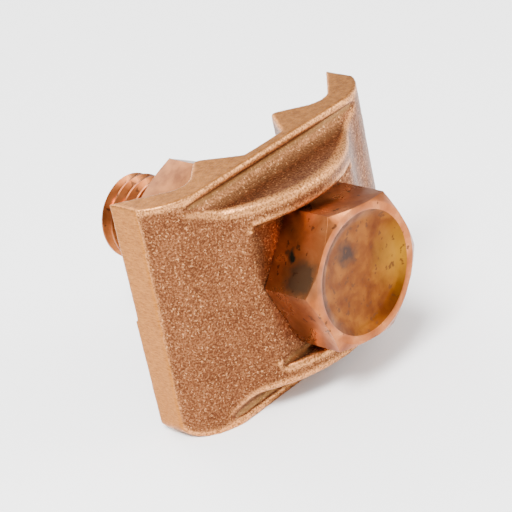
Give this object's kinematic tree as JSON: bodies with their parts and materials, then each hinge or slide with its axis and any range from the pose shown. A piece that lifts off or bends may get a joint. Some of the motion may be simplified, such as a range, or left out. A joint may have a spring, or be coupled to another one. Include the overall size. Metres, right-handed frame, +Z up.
{
  "type": "earth rod clamp",
  "caption": "Cast bronze saddle clamp with a hexagon bolt, spring washer and nut, gripping round earth conductors in grooves beside the bolt.",
  "frame": {"origin": "centre of the overall box in plan, on the plane the lower end of the saddle stands on", "axes": "+Z up, along the conductors; +Y along the bolt, from the head to the threaded end; +X across the saddle"},
  "size_m": [0.044, 0.046, 0.0346],
  "materials": {
    "clamp_body": "sand-cast bronze, matte and grainy",
    "hex_bolt": "silicon bronze, semi-bright with dark stains",
    "spring_washer": "silicon bronze, satin",
    "hex_nut": "silicon bronze, satin"
  },
  "bodies": {
    "saddle": {"clamp_body": "clamp_body"},
    "bolt": {"hex_bolt": "hex_bolt"},
    "washer": {"spring_washer": "spring_washer"},
    "nut": {"hex_nut": "hex_nut"}
  },
  "joints": [
    {"name": "bolt_slide", "type": "slide", "parent": "saddle", "child": "bolt", "axis": [0, -1, 0], "range_m": [0, 0.00075]},
    {"name": "washer_slide", "type": "slide", "parent": "bolt", "child": "washer", "axis": [0, 1, 0], "range_m": [-0.00066, 0.01109]},
    {"name": "nut_turn", "type": "hinge", "parent": "washer", "child": "nut", "pos_m": [0.0009, 0.01188, 0.0173], "axis": [0, 1, 0], "range_deg": [-120, 2040]}
  ],
  "couplings": [
    {"joint": "washer_slide", "follows": "nut_turn", "m_per_rad": 0.00031096}
  ]
}
